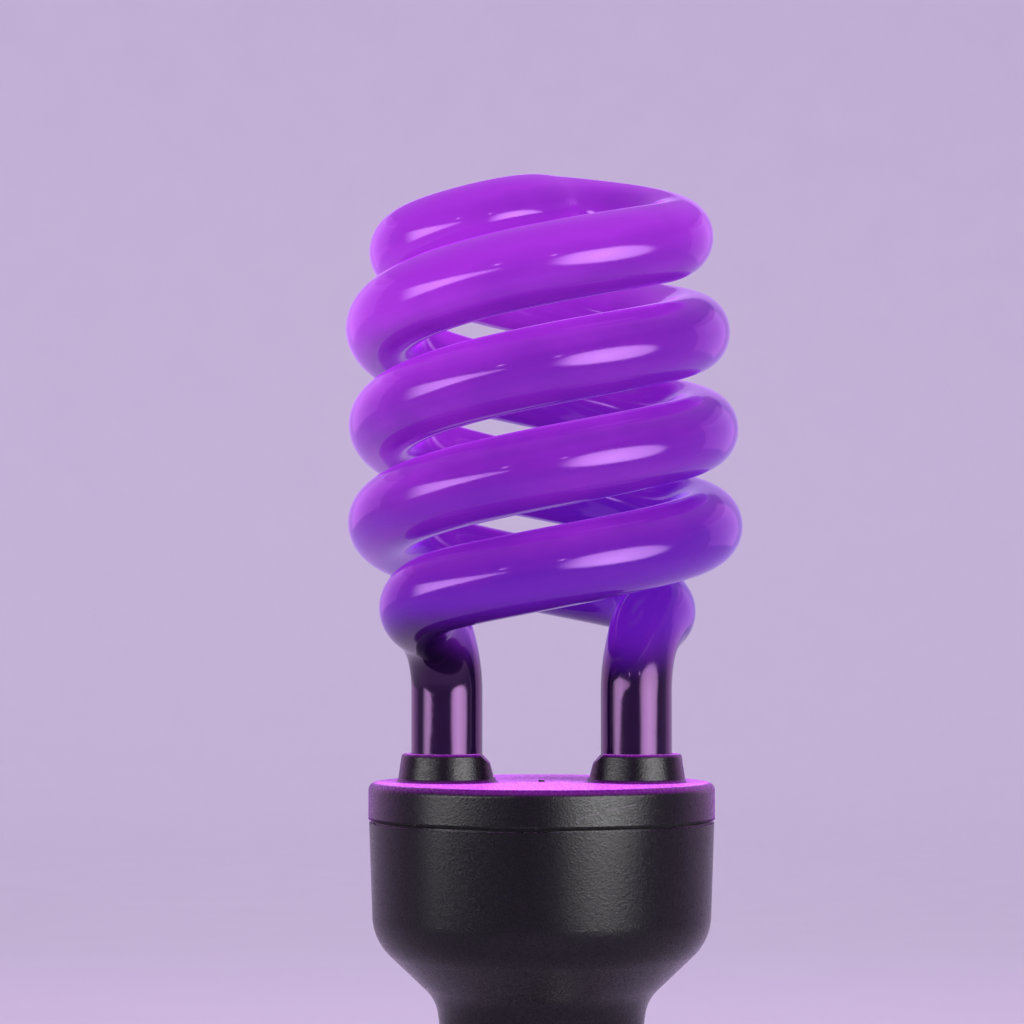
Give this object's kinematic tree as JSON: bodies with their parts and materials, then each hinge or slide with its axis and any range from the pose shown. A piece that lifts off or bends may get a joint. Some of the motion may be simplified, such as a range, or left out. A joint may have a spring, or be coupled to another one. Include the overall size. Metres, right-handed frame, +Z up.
{
  "type": "spiral black light lamp",
  "caption": "Compact fluorescent black light: a coiled violet glass tube on a round charcoal ballast housing with a screw base, for ultraviolet effect lighting.",
  "frame": {"origin": "middle of the centre contact's outer face, at the foot of the screw base", "axes": "+Z up the lamp's axis, from the screw base towards the glass; the two glass legs stand side by side along X"},
  "size_m": [0.0575, 0.0574, 0.1554],
  "materials": {
    "violet_glass": "glossy violet filter glass, glowing",
    "charcoal_plastic": "fine satin moulding",
    "nickel_plate": "rolled and nickel plated",
    "black_glass": "glossy black",
    "contact_brass": "tinned by use",
    "white_cement": "matt cured cement",
    "board_laminate": "phenolic paper laminate",
    "capacitor_sleeve": "shrunk sleeve",
    "ferrite": "fired and ground",
    "bobbin_nylon": "moulded",
    "winding_copper": "enamelled wire",
    "black_epoxy": "moulded case",
    "film_coating": "dipped resin",
    "resistor_coating": "painted",
    "tinned_wire": "drawn and tinned"
  },
  "bodies": {
    "root": {"spiral_tube": "violet_glass", "tube_cap": "charcoal_plastic", "ballast_housing": "charcoal_plastic", "screw_shell": "nickel_plate", "base_insulator": "black_glass", "centre_contact": "contact_brass", "left_tube_cement": "white_cement", "right_tube_cement": "white_cement", "circuit_board": "board_laminate", "storage_capacitor": "capacitor_sleeve", "choke_core": "ferrite", "choke_bobbin": "bobbin_nylon", "choke_winding": "winding_copper", "drive_ring": "ferrite", "upper_transistor": "black_epoxy", "lower_transistor": "black_epoxy", "resonant_capacitor": "film_coating", "blocking_capacitor": "film_coating", "input_choke_core": "ferrite", "input_choke_winding": "winding_copper", "fuse_resistor": "resistor_coating", "contact_lead": "tinned_wire", "fuse_lead": "tinned_wire", "shell_lead": "tinned_wire", "rectifier_diode_1": "black_epoxy", "wrap_pin_1": "tinned_wire", "filament_lead_1": "tinned_wire", "rectifier_diode_2": "black_epoxy", "wrap_pin_2": "tinned_wire", "filament_lead_2": "tinned_wire", "rectifier_diode_3": "black_epoxy", "wrap_pin_3": "tinned_wire", "filament_lead_3": "tinned_wire", "rectifier_diode_4": "black_epoxy", "wrap_pin_4": "tinned_wire", "filament_lead_4": "tinned_wire"}
  },
  "joints": []
}
